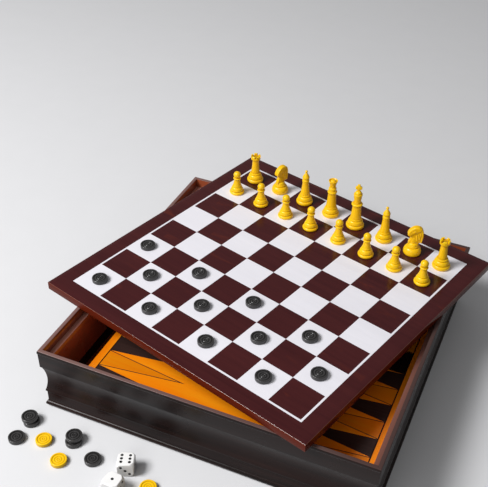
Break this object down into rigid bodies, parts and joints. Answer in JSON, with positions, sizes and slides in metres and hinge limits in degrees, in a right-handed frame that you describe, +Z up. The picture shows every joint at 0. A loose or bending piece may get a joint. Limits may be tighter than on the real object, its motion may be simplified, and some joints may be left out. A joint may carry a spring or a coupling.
{
  "type": "games compendium case",
  "caption": "Square moulded wooden games case with a lift-out backgammon panel over storage bays, a chessboard askew on its rim with chess men and draughtsmen, loose discs and dice beside it.",
  "frame": {"origin": "The centre of the case's underside, on the surface that it stands on.", "axes": "+Z is up. +X runs to the right along the case's front wall, and +Y from the front wall to the back wall."},
  "size_m": [0.384, 0.4414, 0.1305],
  "materials": {
    "baize": "short-napped dark baize",
    "case_lacquer": "near-black brown gloss lacquer over wood",
    "rim_lacquer": "lighter brown gloss lacquer over wood",
    "orange_veneer": "orange-stained veneer under gloss lacquer",
    "black_veneer": "black-stained veneer under gloss lacquer",
    "board_lacquer": "maroon-stained wood under satin lacquer",
    "white_veneer": "bleached veneer under satin lacquer",
    "yellow_plastic": "glossy yellow moulded plastic",
    "black_plastic": "glossy black moulded plastic",
    "die_white": "glossy white plastic",
    "pip_black": "dull black paint in drilled pips",
    "stick_paint": "painted beech",
    "stone_glass": "clear coloured glass"
  },
  "bodies": {
    "case": {"base_felt": "baize", "bottom_panel": "case_lacquer", "base_rail_front": "case_lacquer", "base_rail_right": "case_lacquer", "base_rail_back": "case_lacquer", "base_rail_left": "case_lacquer", "wall_front": "case_lacquer", "wall_right": "case_lacquer", "wall_back": "case_lacquer", "wall_left": "case_lacquer", "rim_front": "rim_lacquer", "rim_right": "rim_lacquer", "rim_back": "rim_lacquer", "rim_left": "rim_lacquer", "trough_divider": "case_lacquer", "long_divider": "case_lacquer", "cross_dividers": "case_lacquer", "panel_rests": "rim_lacquer"},
    "backgammon_panel": {"panel_core": "case_lacquer", "panel_tables": "orange_veneer", "panel_side_bars": "orange_veneer", "black_points": "black_veneer", "orange_points": "orange_veneer", "point_outlines": "black_veneer"},
    "chessboard": {"board_core": "board_lacquer", "board_edging": "board_lacquer", "board_lining": "baize", "board_line": "white_veneer", "dark_squares": "board_lacquer", "light_squares": "white_veneer"},
    "white_king": {"yellow_king": "yellow_plastic"},
    "white_queen": {"yellow_queen": "yellow_plastic"},
    "white_bishops": {"yellow_bishops": "yellow_plastic"},
    "white_knights": {"yellow_knights": "yellow_plastic"},
    "white_rooks": {"yellow_rooks": "yellow_plastic"},
    "white_pawns": {"yellow_pawns": "yellow_plastic"},
    "draughts_on_board": {"board_discs": "black_plastic"},
    "draughts_black_loose": {"loose_black_discs": "black_plastic"},
    "draughts_yellow_loose": {"loose_yellow_discs": "yellow_plastic"},
    "die_showing_six": {"die_six": "die_white", "die_six_pips": "pip_black"},
    "die_showing_one": {"die_one": "die_white", "die_one_pips": "pip_black"},
    "stored_black_men": {"black_king": "black_plastic", "black_queen": "black_plastic", "black_bishops": "black_plastic", "black_knights": "black_plastic", "black_rooks": "black_plastic", "black_pawns": "black_plastic"},
    "stored_draughts": {"stored_yellow_discs": "yellow_plastic"},
    "stored_sticks": {"pick_up_sticks": "stick_paint"},
    "stored_stones": {"glass_stones": "stone_glass"}
  },
  "joints": [
    {"name": "panel_lift", "type": "slide", "parent": "case", "child": "backgammon_panel", "axis": [0, 0, 1], "range_m": [0, 0.03]},
    {"name": "board_lift", "type": "slide", "parent": "case", "child": "chessboard", "axis": [0, 0, 1], "range_m": [0, 0.12]},
    {"name": "king_lift", "type": "slide", "parent": "chessboard", "child": "white_king", "axis": [0, 0, 1], "range_m": [0, 0.06]},
    {"name": "queen_lift", "type": "slide", "parent": "chessboard", "child": "white_queen", "axis": [0, 0, 1], "range_m": [0, 0.06]},
    {"name": "bishops_lift", "type": "slide", "parent": "chessboard", "child": "white_bishops", "axis": [0, 0, 1], "range_m": [0, 0.06]},
    {"name": "knights_lift", "type": "slide", "parent": "chessboard", "child": "white_knights", "axis": [0, 0, 1], "range_m": [0, 0.06]},
    {"name": "rooks_lift", "type": "slide", "parent": "chessboard", "child": "white_rooks", "axis": [0, 0, 1], "range_m": [0, 0.06]},
    {"name": "pawns_lift", "type": "slide", "parent": "chessboard", "child": "white_pawns", "axis": [0, 0, 1], "range_m": [0, 0.06]},
    {"name": "board_discs_lift", "type": "slide", "parent": "chessboard", "child": "draughts_on_board", "axis": [0, 0, 1], "range_m": [0, 0.04]},
    {"name": "black_discs_lift", "type": "slide", "parent": "case", "child": "draughts_black_loose", "axis": [0, 0, 1], "range_m": [0, 0.05]},
    {"name": "yellow_discs_lift", "type": "slide", "parent": "case", "child": "draughts_yellow_loose", "axis": [0, 0, 1], "range_m": [0, 0.05]},
    {"name": "die_six_lift", "type": "slide", "parent": "case", "child": "die_showing_six", "axis": [0, 0, 1], "range_m": [0, 0.05]},
    {"name": "die_one_lift", "type": "slide", "parent": "case", "child": "die_showing_one", "axis": [0, 0, 1], "range_m": [0, 0.05]},
    {"name": "black_men_lift", "type": "slide", "parent": "case", "child": "stored_black_men", "axis": [0, 0, 1], "range_m": [0, 0.005]},
    {"name": "stored_discs_lift", "type": "slide", "parent": "case", "child": "stored_draughts", "axis": [0, 0, 1], "range_m": [0, 0.0045]},
    {"name": "sticks_lift", "type": "slide", "parent": "case", "child": "stored_sticks", "axis": [0, 0, 1], "range_m": [0, 0.04]},
    {"name": "stones_lift", "type": "slide", "parent": "case", "child": "stored_stones", "axis": [0, 0, 1], "range_m": [0, 0.015]}
  ]
}
